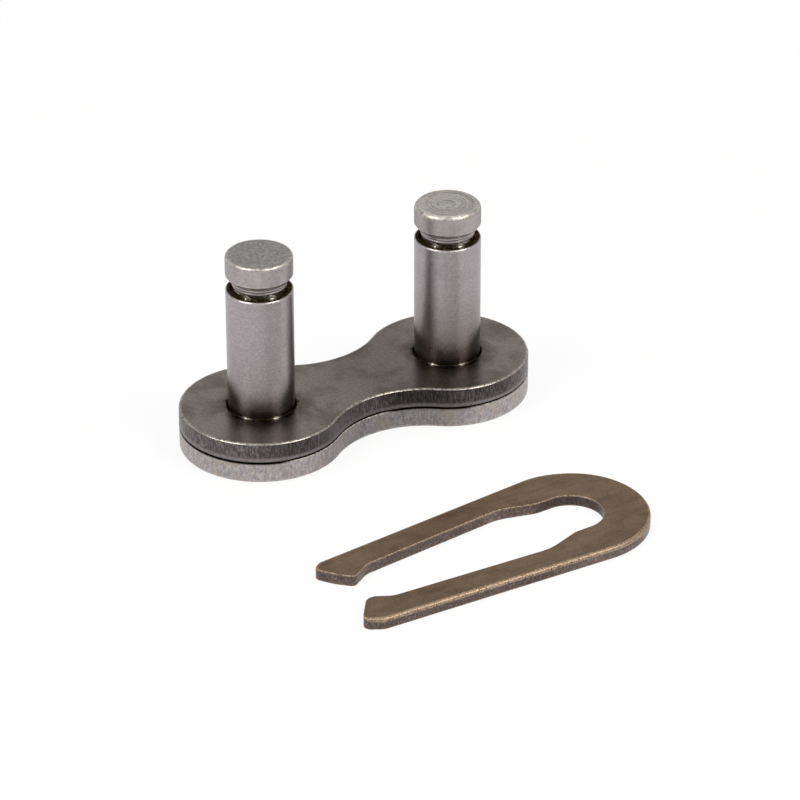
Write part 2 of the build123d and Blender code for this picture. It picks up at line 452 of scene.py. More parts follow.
def makeClipSteel(seatX, seatY, seatRadius, endRadius):
    look = clipFinish
    material, tree, shader, coords = newSteel("clipSteel", look["roughness"])
    place = coords["Object"]
    grain = useGroup(fineGrain, place, Size=look["grain"], Contrast=1.5)
    patch = useGroup(mottle, place, Size=1.6, Low=0.36, High=0.70)
    shear = useGroup(shearMarks, place, Normal=coords["Normal"], Width=0.10, Length=0.16)
    top = blend(patch["Mask"], look["bronze"], look["bronzeDark"])
    side = blend(span(shear["Value"], 0.42, 0.70), look["side"], look["sideLight"])
    offSeat = moveBy("SUBTRACT", place, (seatX * mm, seatY * mm, 0.0))
    fromSeat = useGroup(turningMarks, offSeat, Centre=0.0, Pitch=1.0)["Radius"]
    side = shaded(side, 1 - near(fromSeat, seatRadius, *look["seatReach"]) * look["seatDarkening"])
    side = shaded(side, near(fromSeat, endRadius, *look["endReach"]) * look["endLightening"] + 1.0)
    base = blend(shear["Wall"], top, side)
    base = shaded(base, grain["Value"] * 0.8 + 0.60)
    drawn = moveBy("MULTIPLY", place, look["drawn"])
    streak = useGroup(mottle, drawn, Size=look["streakWidth"], Low=0.30, High=0.70)
    base = shaded(base, streak["Mask"] * look["streak"] + (1.03 - look["streak"] / 2))
    putColour(tree, shader, base, grain, look)
    rough = grain["Height"] * 0.14 + look["roughness"] - 0.05
    put(blendValue(marked(tree, "rim"), rough, look["rimRough"]), shader.inputs["Roughness"])
    putBump(tree, shader, grain["Height"], 0.12, 0.02)
    return material


oilFinish = {
    "film": (0.024, 0.017, 0.009), "dropGlint": (0.330, 0.300, 0.245), "cloud": 0.6,
    "roughness": 0.08, "edgeOn": 0.35,
}


def makeOil():  # a wet dark film over the steel, with a painted glint where it stands in a bead
    look = oilFinish
    material, tree, shader, coords = newSteel("oilFilm", look["roughness"], edgeOn=look["edgeOn"])
    patch = useGroup(mottle, coords["Object"], Size=0.5, Low=0.36, High=0.60)
    glint = marked(tree, "rim") * (1 - patch["Mask"] * look["cloud"])
    put(blend(glint, look["film"], look["dropGlint"]), shader.inputs["Base Color"])
    return material


# outlines and solids

def roundedPath(corners, step=radians(6)):  # a corner is (x, y, radius); both ends stay sharp
    path = [Vector(corners[0][:2])]
    for before, (x, y, radius), after in zip(corners, corners[1:], corners[2:]):
        corner = Vector((x, y))
        back = (Vector(before[:2]) - corner).normalized()
        ahead = (Vector(after[:2]) - corner).normalized()
        if radius == 0:
            path.append(corner)
            continue
        half = back.angle(ahead) / 2
        centre = corner + (back + ahead).normalized() * radius / sin(half)
        first = corner + back * radius / tan(half) - centre
        last = corner + ahead * radius / tan(half) - centre
        sweep = atan2(first.cross(last), first.dot(last))
        count = max(2, ceil(abs(sweep) / step))
        for i in range(count + 1):
            path.append(centre + Matrix.Rotation(sweep * i / count, 2) @ first)
    path.append(Vector(corners[-1][:2]))
    return path


def evenLoop(path, spacing):  # the same closed path in equal steps
    points = path + path[:1]
    lengths = [0.0]
    for a, b in zip(points, points[1:]):
        lengths.append(lengths[-1] + (b - a).length)
    count = max(3, round(lengths[-1] / spacing))
    even, at = [], 0
    for i in range(count):
        target = lengths[-1] * i / count
        while at < len(points) - 2 and lengths[at + 1] < target:
            at += 1
        run = lengths[at + 1] - lengths[at]
        share = (target - lengths[at]) / run if run else 0
        even.append(points[at].lerp(points[at + 1], share))
    return even


def withNormals(points):  # outward normals of an anticlockwise loop
    count = len(points)
    loop = []
    for i, point in enumerate(points):
        along = (points[(i + 1) % count] - points[i - 1]).normalized()
        loop.append((point, Vector((along.y, -along.x))))
    return loop


def newMesh():  # with a place for worn edges with painted highlight, and for dirt and painted shade
    bm = bmesh.new()
    layers = [bm.verts.layers.float.new(name) for name in ("rim", "grimeAndShade")]
    return bm, layers


def addPoint(bm, layers, x, y, z, marks):
    vertex = bm.verts.new((x * mm, y * mm, z * mm))
    for layer, mark in zip(layers, marks):
        vertex[layer] = mark
    return vertex


def joinRings(bm, lower, upper):
    count = len(lower)
    for i in range(count):
        j = (i + 1) % count
        bm.faces.new((lower[i], lower[j], upper[j], upper[i]))


def closeFlat(bm, rings):
    edges = []
    for ring in rings:
        for a, b in zip(ring, ring[1:] + ring[:1]):
            edges.append(bm.edges.get((a, b)))
    bmesh.ops.triangle_fill(bm, edges=edges, use_beauty=True)


def pieceFrom(bm, name):
    mesh = bpy.data.meshes.new(name)
    bm.to_mesh(mesh)
    bm.free()
    piece = bpy.data.objects.new(name, mesh)
    scene.collection.objects.link(piece)
    return piece


def finishMesh(bm, name):
    bmesh.ops.recalc_face_normals(bm, faces=bm.faces)
    for face in bm.faces:
        face.smooth = True
    return pieceFrom(bm, name)


def rimmedSolid(name, outline, section, holes=()):
    # outline holds (point, outward normal, share of the full die roll); section gives rows of
    # (inset, level, wear and painted highlight, dirt and painted shade) from the bottom up
    bm, layers = newMesh()
    sections = [section(share) for _, _, share in outline]
    rings = []
    for row in range(len(sections[0])):
        ring = []
        for (point, normal, _), rows in zip(outline, sections):
            inset, level, *marks = rows[row]
            spot = point - normal * inset
            ring.append(addPoint(bm, layers, spot.x, spot.y, level, marks))
        if rings:
            joinRings(bm, rings[-1], ring)
        rings.append(ring)
    lowest, highest = [rings[0]], [rings[-1]]
    for centre, profile, count in holes:
        bore = []
        for radius, level, *marks in profile:
            circle = [centre + spoke * radius for spoke in circlePoints(count)]
            bore.append([addPoint(bm, layers, spot.x, spot.y, level, marks) for spot in circle])
        for lower, upper in zip(bore, bore[1:]):
            joinRings(bm, lower, upper)
        lowest.append(bore[0])
        highest.append(bore[-1])
    closeFlat(bm, lowest)
    closeFlat(bm, highest)
    return finishMesh(bm, name)


def circlePoints(count):
    return [Vector((cos(a), sin(a))) for a in (2 * pi * i / count for i in range(count))]


def quarterRound(width, depth, count):  # from (0, -depth) up to (width, 0)
    angles = [pi / 2 * i / count for i in range(count + 1)]
    return [(width * (1 - cos(a)), -depth * (1 - sin(a))) for a in angles]


def wallRows(low, high, count):
    return [(0.0, low + (high - low) * i / count, 0.0, 0.0) for i in range(1, count)]


# the two plates

plateSizes = {
    "waistHalf": 2.67,
    "dieRoll": 0.18, "dieRollDepth": 0.14, "seam": 0.12,
    "seamAbove": (0.12, 0.09), "seamBelow": (0.03, 0.17),  # the seam with its painted shade, where it runs high, and low
    "seamCourse": (
        (-11.3, 1.0), (-7.7, 1.0), (-6.7, 0.0), (0.1, 0.0), (1.1, 1.0), (4.8, 1.0), (6.0, 0.3), (11.3, 0.3),
    ),
    "pinRadius": 1.98, "clearance": 0.05, "mouth": 0.03, "boreRound": 0.02, "boreRing": 160,
    "spacing": 0.05, "wallRows": 16, "roundRows": 6, "flatLip": 0.06, "shadedLip": 0.02, "mouthLip": 0.05,
    "streakDepth": 0.018, "streakWidth": 0.12, "streakLength": 0.6,
    "bandDepth": 0.012, "bandRagged": 0.2, "bandSoft": 0.04,  # the rough part of a sheared wall
    "lowerRim": 0.3, "boreGrime": 0.5, "mouthGrime": 0.9,  # how worn and how dirty these edges are
}


def seamShare(x):  # 0 where the seam runs high, 1 where it runs low; the fixed plate's top edge has painted highlight at 0 and painted shade at 1
    course = plateSizes["seamCourse"]
    for (left, first), (right, last) in zip(course, course[1:]):
        if x <= right:
            return first + (last - first) * max(0.0, x - left) / (right - left)
    return course[-1][1]


def plateOutline(pitch, lobe):
    waistHalf = plateSizes["waistHalf"]
    half = pitch / 2
    waist = (half**2 + waistHalf**2 - lobe**2) / (2 * (lobe - waistHalf))
    away = waistHalf + waist
    lobeTurn = pi - atan2(away, half)
    waistTurn = atan2(half, away)
    outline = []

    def arc(centre, radius, start, end, outward):
        count = max(4, round(abs(end - start) * radius / plateSizes["spacing"]))
        for i in range(count):
            angle = start + (end - start) * i / count
            spoke = Vector((cos(angle), sin(angle)))
            point = centre + spoke * radius
            outline.append((point, spoke * outward, seamShare(point.x)))

    arc(Vector((half, 0)), lobe, -lobeTurn, lobeTurn, 1)
    arc(Vector((0, away)), waist, waistTurn - pi / 2, -waistTurn - pi / 2, -1)
    arc(Vector((-half, 0)), lobe, pi - lobeTurn, pi + lobeTurn, 1)
    arc(Vector((0, -away)), waist, pi / 2 + waistTurn, pi / 2 - waistTurn, -1)
    return outline


def coverSection(low, high):  # die roll above with painted highlight on its upper part, a recess over the other plate below painted in shade
    sizes = plateSizes
    upper = quarterRound(sizes["dieRoll"], sizes["dieRollDepth"], sizes["roundRows"])

    def rows(share):
        inWaist, onLobe = sizes["seamAbove"]
        depth = inWaist + (onLobe - inWaist) * share
        made = [(sizes["seam"] + extra, low, 0.0, 1.0) for extra in (sizes["flatLip"], 0.0)]
        made += [(sizes["seam"], low + depth * part, 0.0, 1.0) for part in (0.5, 0.8)]
        made += [(sizes["seam"] * 0.7, low + depth, 0.0, 1.0), (0.0, low + depth * 1.1, 0.0, 0.0)]
        made += wallRows(low + depth * 1.1, high - sizes["dieRollDepth"], sizes["wallRows"])
        for inset, drop in upper[:-1]:
            made.append((inset, high + drop, 1.0 if inset > 0.2 * sizes["dieRoll"] else 0.0, 0.0))
        made += [(upper[-1][0] + extra, high, 0.0, 0.0) for extra in (0.0, sizes["flatLip"])]
        return made

    return rows


def fixedSection(low, high):
    sizes = plateSizes
    lower = quarterRound(sizes["dieRoll"], sizes["dieRollDepth"], sizes["roundRows"])

    def rows(share):
        inWaist, onLobe = sizes["seamBelow"]
        edge = inWaist + (onLobe - inWaist) * share
        upper = quarterRound(edge, edge, sizes["roundRows"] - 2)
        made = [(lower[-1][0] + sizes["flatLip"], low, 0.0, 0.0)]
        made += [(inset, low - drop, sizes["lowerRim"], 0.0) for inset, drop in reversed(lower)]
        made += wallRows(low + sizes["dieRollDepth"], high - edge, sizes["wallRows"])
        # the top edge: painted highlight where the seam runs high, painted shade where it runs low; just
        # inside it, under the cover, painted shade
        for inset, drop in upper:
            made.append((inset, high + drop, 1 - share, share if inset > 0.1 * edge else 0.0))
        made += [(edge + sizes["shadedLip"], high, 0.0, 1.0), (edge + sizes["flatLip"], high, 0.0, 0.0)]
        return made

    return rows


def boreRows(radius, low, high):
    mouth, edge = plateSizes["mouth"], plateSizes["boreRound"]
    rows = [(radius + plateSizes["flatLip"], low, 0.0, 0.0)]
    rows += [(radius + edge, low, 0.0, 0.0), (radius, low + edge, 0.0, 0.0)]
    rows.append((radius, (low + high) / 2, 0.0, plateSizes["boreGrime"]))
    for inset, drop in quarterRound(mouth, mouth, 4):
        rows.append((radius + inset, high + drop, 0.0, plateSizes["mouthGrime"]))
    rows.append((radius + mouth + plateSizes["mouthLip"], high, 0.0, 0.0))
    return rows


def makeShearTree():  # marks of the punch, sunk into upright walls
    inputs = {
        "Geometry": "Geometry", "Finish": "Material", "Seed": 0.0,
        "Width": plateSizes["streakWidth"] * mm, "Length": plateSizes["streakLength"] * mm,
        "Depth": 0.01 * mm, "Band Level": 0.0, "Band Depth": 0.0,
    }
    tree, given, result = newGroup("shearedEdge", "GeometryNodeTree", inputs, ("Geometry",))
    tree.is_modifier = True
    parts = split(addNode(tree, "GeometryNodeInputPosition")[0])
    normal = addNode(tree, "GeometryNodeInputNormal")[0]
    place = joined(parts["X"] / given["Width"], parts["Y"] / given["Width"], parts["Z"] / given["Length"])
    marks = noiseOf("4D", Vector=place, W=given["Seed"], Scale=1.0, Detail=2.0)
    wall = span(abs(split(normal)["Z"]), 0.6, 0.2)
    ragged = (marks - 0.5) * (plateSizes["bandRagged"] * mm) + parts["Z"]
    band = span(ragged, given["Band Level"] + plateSizes["bandSoft"] * mm, given["Band Level"])
    sink = (band * given["Band Depth"] + marks * given["Depth"]) * wall
    shift = moveBy("SCALE", normal, sink * -1.0)
    moved = addNode(tree, "GeometryNodeSetPosition", {"Geometry": given["Geometry"], "Offset": shift})
    real = addNode(tree, "GeometryNodeRealizeInstances", {"Geometry": moved[0]})
    painted = addNode(tree, "GeometryNodeSetMaterial", {"Geometry": real[0], "Material": given["Finish"]})
    put(painted[0], result["Geometry"])
    return tree


def applyTree(piece, tree, values):
    modifier = piece.modifiers.new(tree.name, "NODES")
    modifier.node_group = tree
    for item in tree.interface.items_tree:
        if item.item_type == "SOCKET" and item.in_out == "INPUT" and item.name in values:
            modifier[item.identifier] = values[item.name]
    made = bpy.data.meshes.new_from_object(piece.evaluated_get(bpy.context.evaluated_depsgraph_get()))
    piece.modifiers.remove(modifier)
    piece.data = made


def makePlate(name, nodeName, boreRadius, section, finish, bandShare):
    sizes = plateSizes
    low, high = boxOf(nodeName)
    lobe = (high.y - low.y) / 2
    pitch = high.x - low.x - 2 * lobe
    rows = boreRows(boreRadius, low.z, high.z)
    holes = [(Vector((side * pitch / 2, 0)), rows, sizes["boreRing"]) for side in (-1, 1)]
    piece = rimmedSolid(name, plateOutline(pitch, lobe), section(low.z, high.z), holes)
    applyTree(piece, shearTree, {
        "Depth": sizes["streakDepth"] * mm, "Band Level": (low.z + bandShare * (high.z - low.z)) * mm,
        "Band Depth": sizes["bandDepth"] * mm, "Seed": low.z, "Finish": finish,
    })
    return piece


shearTree = makeShearTree()
coverLow, coverHigh = boxOf("cover_plate")
halfPitch = (coverHigh.x - coverLow.x - coverHigh.y + coverLow.y) / 2
coverBore = plateSizes["pinRadius"] + plateSizes["clearance"]
coverSteel = makeCoverSteel(coverLow.z, coverHigh.z - coverLow.z, halfPitch, coverBore)
cover = makePlate("cover_steel", "cover_plate", coverBore, coverSection, coverSteel, plateFinish["bandTop"])
fixed = makePlate("fixed_steel", "fixed_plate", plateSizes["pinRadius"], fixedSection, makeFixedSteel(), 0.0)
print("plates made")


# the two grooved pins

pinSizes = {
    "footChamfer": 0.12, "footRounds": (0.02, 0.05), "neckRadius": 1.60, "shoulderChamfer": 0.05,
    "shoulderLevel": 10.22, "neckHeight": 0.45, "bevelHeight": 0.53,
    "leftHeadRound": 0.21, "rightHeadRound": 0.36, "edgeRound": 0.04, "rootRound": 0.10, "coneRound": 0.2,
    "segments": 160, "fineStep": 0.02, "shankStep": 0.5, "support": 0.15,
    "groovePitch": 0.20, "grooveDepth": 0.05, "groovesAbove": 0.38, "groovesFade": (0.1, 0.15),
    "shoulderRim": 0.3, "shoulderReach": (0.04, 0.1),  # the edge below the groove: how strongly worn and painted with highlight, and how widely
    "lipRim": 0.6, "lipReach": (0.03, 0.05),  # the same for the edge above it
    "faceEdge": 0.01, "weld": 0.0005,
}


def pinPlace(nodeName):
    low, high = boxOf(nodeName)
    return (low.x + high.x) / 2, (high.x - low.x) / 2, high.z


def pinProfile(radius, top, headRound):
    sizes = pinSizes
    shoulder, chamfer, small = sizes["shoulderLevel"], sizes["shoulderChamfer"], sizes["edgeRound"] / 2
    neckTop = shoulder + sizes["neckHeight"]
    head = neckTop + sizes["bevelHeight"]
    first, second = sizes["footRounds"]
    corners = [
        (0, 0, 0), (radius - sizes["footChamfer"], 0, first), (radius, sizes["footChamfer"], second),
        (radius, shoulder - sizes["support"], 0),
        (radius, shoulder - chamfer, small), (radius - chamfer, shoulder, small),
        (sizes["neckRadius"], shoulder, sizes["rootRound"]),
        (sizes["neckRadius"], neckTop, sizes["coneRound"]),
        (radius, head, sizes["edgeRound"]), (radius, top, headRound), (0, top, 0),
    ]
    return roundedPath(corners, radians(10))


def makePinTree():  # a profile turned about an upright axis, with the marks of the lathe
    inputs = {
        "Geometry": "Geometry", "Axis X": 0.0, "Segments": pinSizes["segments"], "Top Level": 12.0 * mm,
        "Neck Low": 10.2 * mm, "Neck High": 11.2 * mm, "Ring Pitch": 0.1 * mm, "Ring Depth": 0.01 * mm,
        "Groove Pitch": 0.16 * mm, "Groove Depth": 0.03 * mm, "Nub Radius": 0.3 * mm, "Dish": 0.02 * mm,
        "Shank Finish": "Material", "Head Finish": "Material",
    }
    tree, given, result = newGroup("turnedPin", "GeometryNodeTree", inputs, ("Geometry",))
    tree.is_modifier = True
    profile = given["Geometry"]
    counts = addNode(tree, "GeometryNodeAttributeDomainSize", {"Geometry": profile}, component="MESH")
    rows = counts["Point Count"]
    size = {"Size X": 1.0, "Size Y": 1.0, "Vertices X": given["Segments"] + 1.0, "Vertices Y": rows}
    grid = addNode(tree, "GeometryNodeMeshGrid", size)
    index = addNode(tree, "GeometryNodeInputIndex")[0]
    column = calc("FLOOR", (index + 0.5) / rows)
    row = index - column * rows
    position = addNode(tree, "GeometryNodeInputPosition")[0]
    rim = addNode(tree, "GeometryNodeInputNamedAttribute", {"Name": "rim"}, data_type="FLOAT")["Attribute"]

    def fromProfile(value, kind):  # what the profile has at this row
        inputs = {"Geometry": profile, "Value": value, "Index": row}
        return addNode(tree, "GeometryNodeSampleIndex", inputs, data_type=kind, domain="POINT")["Value"]

    spot = split(fromProfile(position, "FLOAT_VECTOR"))
    radius, level = spot["X"], spot["Z"]
    # facing rings on the head, cut lines in the neck
    onTop = span(level, given["Top Level"] - pinSizes["faceEdge"] * mm, given["Top Level"])
    rings = noiseOf("1D", W=radius / given["Ring Pitch"], Scale=1.0, Detail=2.0)
    away = span(radius, given["Nub Radius"] * 0.6, given["Nub Radius"] * 1.6)
    sink = (rings * given["Ring Depth"] + away * given["Dish"]) * onTop
    fadeLow, fadeHigh = pinSizes["groovesFade"]
    aboveLow = span(level, given["Neck Low"], given["Neck Low"] + fadeLow * mm)
    belowHigh = span(level, given["Neck High"], given["Neck High"] - fadeHigh * mm)
    wave = calc("SINE", level / given["Groove Pitch"] * (2 * pi)) * 0.5 + 0.5
    cut = wave * given["Groove Depth"] * (aboveLow * belowHigh)
    angle = column * (2 * pi / given["Segments"])
    across = (radius - cut) * calc("COSINE", angle) + given["Axis X"]
    place = joined(across, (radius - cut) * calc("SINE", angle), level - sink)
    moved = addNode(tree, "GeometryNodeSetPosition", {"Geometry": grid["Mesh"], "Position": place})
    wearAndHighlight = {"Geometry": moved[0], "Name": "rim", "Value": fromProfile(rim, "FLOAT")}
    stored = addNode(tree, "GeometryNodeStoreNamedAttribute", wearAndHighlight, data_type="FLOAT", domain="POINT")
    inputs = {"Geometry": stored[0], "Distance": pinSizes["weld"] * mm}
    merged = addNode(tree, "GeometryNodeMergeByDistance", inputs)
    smooth = addNode(tree, "GeometryNodeSetShadeSmooth", {"Geometry": merged[0], "Shade Smooth": True})
    real = addNode(tree, "GeometryNodeRealizeInstances", {"Geometry": smooth[0]})
    above = calc("GREATER_THAN", split(position)["Z"], given["Neck Low"])
    shank = addNode(tree, "GeometryNodeSetMaterial", {"Geometry": real[0], "Material": given["Shank Finish"]})
    inputs = {"Geometry": shank[0], "Selection": above, "Material": given["Head Finish"]}
    put(addNode(tree, "GeometryNodeSetMaterial", inputs)[0], result["Geometry"])
    return tree


def makePin(name, nodeName, headRound, tree, look):
    axisX, radius, top = pinPlace(nodeName)
    shoulder = pinSizes["shoulderLevel"]
    neckTop = shoulder + pinSizes["neckHeight"]
    head = neckTop + pinSizes["bevelHeight"]
    bm, layers = newMesh()
    path = pinProfile(radius, top, headRound)
    points = [path[0]]
    for a, b in zip(path, path[1:]):  # finer steps in the groove and across the head's face
        fine = min(a.y, b.y) > shoulder - 0.01
        steps = max(1, ceil((b - a).length / pinSizes["fineStep" if fine else "shankStep"]))
        points += [a.lerp(b, i / steps) for i in range(1, steps + 1)]

    def onEdge(point, level, reach):
        return abs(point.y - level) < reach[0] and point.x > radius - reach[1]

    last = None
    for point in points:
        # edges by the groove and the head's round top edge get wear and painted highlight
        rim = 0.0
        if onEdge(point, shoulder - pinSizes["shoulderChamfer"] / 2, pinSizes["shoulderReach"]):
            rim = pinSizes["shoulderRim"]
        elif onEdge(point, head, pinSizes["lipReach"]):
            rim = pinSizes["lipRim"]
        elif top - headRound * 0.6 < point.y < top - 0.002:
            rim = look["rim"]
        vertex = addPoint(bm, layers, point.x, 0, point.y, (rim, 0.0))
        if last:
            bm.edges.new((last, vertex))
        last = vertex
    piece = pieceFrom(bm, name)
    ground = makeShankSteel(name + "_ground", axisX, coverHigh.z, look)
    turned = makeHeadSteel(name + "_turned", axisX, shoulder, neckTop, head, top, look["head"])
    lengths = {
        "Axis X": axisX, "Top Level": top,
        "Neck Low": shoulder, "Neck High": neckTop + pinSizes["groovesAbove"],
        "Ring Pitch": look["ringPitch"], "Ring Depth": look["ringDepth"],
        "Groove Pitch": pinSizes["groovePitch"], "Groove Depth": pinSizes["grooveDepth"],
        "Nub Radius": look["nubRadius"], "Dish": look["dish"],
    }
    values = {label: length * mm for label, length in lengths.items()}
    values |= {"Segments": pinSizes["segments"], "Shank Finish": ground, "Head Finish": turned}
    applyTree(piece, tree, values)
    return piece


pinTree = makePinTree()
leftLook = {
    "ringPitch": 0.10, "ringDepth": 0.006, "nubRadius": 0.2, "dish": 0.0, "rim": 0.4,
    "haze": 0.3, "footStain": 0.80, "streakHighlight": 0.35,
    "head": {
        "side": (0.400, 0.366, 0.372), "face": (0.415, 0.403, 0.390),
        "rough": 0.40, "faceRough": 0.42, "rimRough": 0.38, "edgeOn": 0.8,
        "rings": 0.15, "facing": 0.15, "cuts": 0.7, "grain": 3.0, "bump": 0.15,
    },
}
rightLook = {
    "ringPitch": 0.15, "ringDepth": 0.03, "nubRadius": 0.15, "dish": 0.02, "rim": 0.5,
    "haze": 1.0, "footStain": 0.7, "streakHighlight": 0.80,
    "head": {
        "side": (0.405, 0.364, 0.356), "face": (0.620, 0.588, 0.558),
        "rough": 0.42, "faceRough": 0.42, "rimRough": 0.42, "edgeOn": 0.7,
        "rings": 0.4, "facing": 2.0, "cuts": 0.30, "grain": 1.6, "bump": 0.06,
    },
}
leftPin = makePin("left_pin_steel", "left_pin", pinSizes["leftHeadRound"], pinTree, leftLook)
rightPin = makePin("right_pin_steel", "right_pin", pinSizes["rightHeadRound"], pinTree, rightLook)
print("pins made")


# the spring clip

clipSizes = {
    "place": (4.20, -17.17), "turn": 3.3,
    "endRadius": 4.54, "seatRadius": 1.88, "legTaper": 3.8, "boreTaper": 4.5,
    "throatBack": 1.07, "flareBack": 3.29, "flareHalf": 2.56, "hookReach": 1.25,
    "legBack": 15.44, "nearLonger": 0.73, "tipIn": 0.59, "boreHalf": 3.0,
    "farHook": (1.41, 1.08, 0.32, 0.11), "farHeel": 0.37,  # ahead, half gap, rounding, bulge of the tip
    "nearHook": (1.52, 0.99, 0.70, 0.01), "nearHeel": 1.04,
    "throatRound": 1.0, "flareRound": 3.0, "rootRound": 1.5,
    "tipRound": 0.42, "bulgeRound": 2.0, "heelRound": 0.80,
    "dieRoll": 0.26, "dieRollDepth": 0.20, "brokenEdge": 0.05,
    "rollFades": (2.0, 3.8), "rollLeft": 0.45,  # the roll is narrower round the closed end
    "rollSpread": 0.35,  # how gently it comes and goes along the edge
    "spacing": 0.05, "roundRows": 7, "wallRows": 9, "flatLip": 0.03,
    "markWidth": 0.13, "markLength": 0.25, "markDepth": 0.02, "lowerRim": 0.4,
}


def clipLeg(tipBack, hook, heel, side):  # corners from the outside round the tip to the throat
    sizes = clipSizes
    taper = radians(sizes["legTaper"])
    hookAhead, hookHalf, hookRound, tipBulge = hook
    heelBack, hookBack = tipBack - heel, tipBack - hookAhead
    rootBack = hookBack - sizes["hookReach"]
    rootHalf = sizes["flareHalf"] - (rootBack - sizes["flareBack"]) * tan(radians(sizes["boreTaper"]))

    def outerHalf(back):
        return (sizes["endRadius"] - back * sin(taper)) / cos(taper)

    endCorner = Vector((-tipBack, side * (outerHalf(tipBack) - sizes["tipIn"])))
    along = Vector((-hookBack, side * hookHalf)) - endCorner
    bulge = endCorner + along / 2 + Vector((-abs(along.y), -side * along.x)).normalized() * tipBulge
    return [
        (-sizes["endRadius"] * sin(taper), side * sizes["endRadius"] * cos(taper), 0),
        (-heelBack, side * outerHalf(heelBack), sizes["heelRound"]),
        (*endCorner, sizes["tipRound"]), (*bulge, sizes["bulgeRound"]),
        (-hookBack, side * hookHalf, hookRound), (-rootBack, side * rootHalf, sizes["rootRound"]),
        (-sizes["flareBack"], side * sizes["flareHalf"], sizes["flareRound"]),
        (-sizes["throatBack"], side * sizes["seatRadius"], sizes["throatRound"]),
        (0, side * sizes["seatRadius"], 0),
    ]


def arcPoints(radius, start, end, count=96):
    angles = [start + (end - start) * i / count for i in range(count + 1)]
    return [Vector((radius * cos(a), radius * sin(a))) for a in angles]


def clipOutline():
    sizes = clipSizes
    taper = radians(sizes["legTaper"])
    farLeg = roundedPath(clipLeg(sizes["legBack"], sizes["farHook"], sizes["farHeel"], 1))
    nearBack = sizes["legBack"] + sizes["nearLonger"]
    nearLeg = roundedPath(clipLeg(nearBack, sizes["nearHook"], sizes["nearHeel"], -1))
    closedEnd = arcPoints(sizes["endRadius"], -pi / 2 - taper, pi / 2 + taper)
    seat = arcPoints(sizes["seatRadius"], pi / 2, -pi / 2)
    path = closedEnd + farLeg[1:] + seat[1:] + nearLeg[::-1][1:-1]
    loop = withNormals(evenLoop(path, sizes["spacing"]))
    outside = []
    fadeStart, fadeEnd = sizes["rollFades"]
    for point, _ in loop:  # the die rolled the outer sides only
        outer = abs(point.y) > sizes["boreHalf"] or point.x > (sizes["seatRadius"] + sizes["endRadius"]) / 2
        faded = min(1.0, max(0.0, (point.x - fadeStart) / (fadeEnd - fadeStart)))
        outside.append(1 - (1 - sizes["rollLeft"]) * faded if outer else 0.0)
    reach = round(sizes["rollSpread"] / sizes["spacing"])
    count = len(loop)
    turn = Matrix.Rotation(radians(sizes["turn"]), 2)
    outline = []
    for i, (point, normal) in enumerate(loop):
        share = sum(outside[(i + k) % count] for k in range(-reach, reach + 1)) / (2 * reach + 1)
        outline.append((turn @ point + Vector(sizes["place"]), turn @ normal, share))
    return outline


def clipSection(low, high):
    sizes = clipSizes
    broken = quarterRound(sizes["brokenEdge"], sizes["brokenEdge"], 3)

    def rows(share):
        width = sizes["brokenEdge"] + (sizes["dieRoll"] - sizes["brokenEdge"]) * share
        depth = sizes["brokenEdge"] + (sizes["dieRollDepth"] - sizes["brokenEdge"]) * share
        upper = quarterRound(width, depth, sizes["roundRows"])
        made = [(sizes["brokenEdge"] + sizes["flatLip"], low, 0.0, 0.0)]
        made += [(inset, low - drop, sizes["lowerRim"], 0.0) for inset, drop in reversed(broken)]
        made += wallRows(low + sizes["brokenEdge"], high - depth, sizes["wallRows"])
        made += [(inset, high + drop, 1.0, 0.0) for inset, drop in upper[:-1]]
        made += [(width + extra, high, 0.0, 0.0) for extra in (0.0, sizes["flatLip"])]
        return made

    return rows


clipLow, clipHigh = boxOf("spring_clip")
springClip = rimmedSolid("clip_steel", clipOutline(), clipSection(clipLow.z, clipHigh.z))
clipSteel = makeClipSteel(*clipSizes["place"], clipSizes["seatRadius"], clipSizes["endRadius"])
applyTree(springClip, shearTree, {
    "Width": clipSizes["markWidth"] * mm, "Length": clipSizes["markLength"] * mm,
    "Depth": clipSizes["markDepth"] * mm, "Seed": 7.0, "Finish": clipSteel,
})
print("clip made")


# oil left where the pins stand in the plate and in their grooves

oilSizes = {
    "reach": 0.07, "climb": 0.06, "grooveReach": 0.10, "grooveClimb": 0.14, "sink": 0.02,
    "segments": 240, "steps": 10,
    "waves": ((3, 0.18, 0.6), (7, 0.18, 2.1), (13, 0.14, 4.0), (29, 0.12, 1.3)),  # count, share and phase
    "dropGlints": (214, 268), "beadHalf": 8.0, "beadSwell": 0.7,  # where drops stand round a pin, with their painted glints, in degrees
}


def dropGlintShare(turn):  # 1 at the middle of a drop, where its glint is painted brightest
    nearest = min(abs((degrees(turn) - at + 180) % 360 - 180) for at in oilSizes["dropGlints"])
    return exp(-(nearest / oilSizes["beadHalf"]) ** 2)


def oilRing(name, axisX, radius, level, reach, climb, look):
    sizes = oilSizes
    bm, layers = newMesh()
    steps = sizes["steps"]
    profile = [(-sizes["sink"], 0.0, -sizes["sink"]), (0.0, 1.0, -sizes["sink"])]
    for i in range(steps + 1):  # hollow surface drawn up the wall, as (extra, share of reach, height)
        a = pi / 2 * i / steps
        profile.append((0.0, 1 - sin(a), climb * (1 - cos(a))))
    profile.append((-sizes["sink"], 0.0, climb))
    rings = []
    for extra, share, height in profile:
        ring = []
        for i, spoke in enumerate(circlePoints(sizes["segments"])):
            turn = 2 * pi * i / sizes["segments"]
            # a drop swells the ring and marks where its painted glint goes
            dropGlint = dropGlintShare(turn)
            swell = 1 + sum(part * sin(count * turn + phase) for count, part, phase in sizes["waves"])
            swell += sizes["beadSwell"] * dropGlint
            away = radius + extra + reach * share * swell
            rise = level + (height * swell if height > 0 else height)
            ring.append(addPoint(bm, layers, axisX + spoke.x * away, spoke.y * away, rise, (dropGlint, 0.0)))
        rings.append(ring)
    for lower, upper in zip(rings, rings[1:] + rings[:1]):
        joinRings(bm, lower, upper)
    piece = finishMesh(bm, name)
    piece.data.materials.append(look)
    return piece


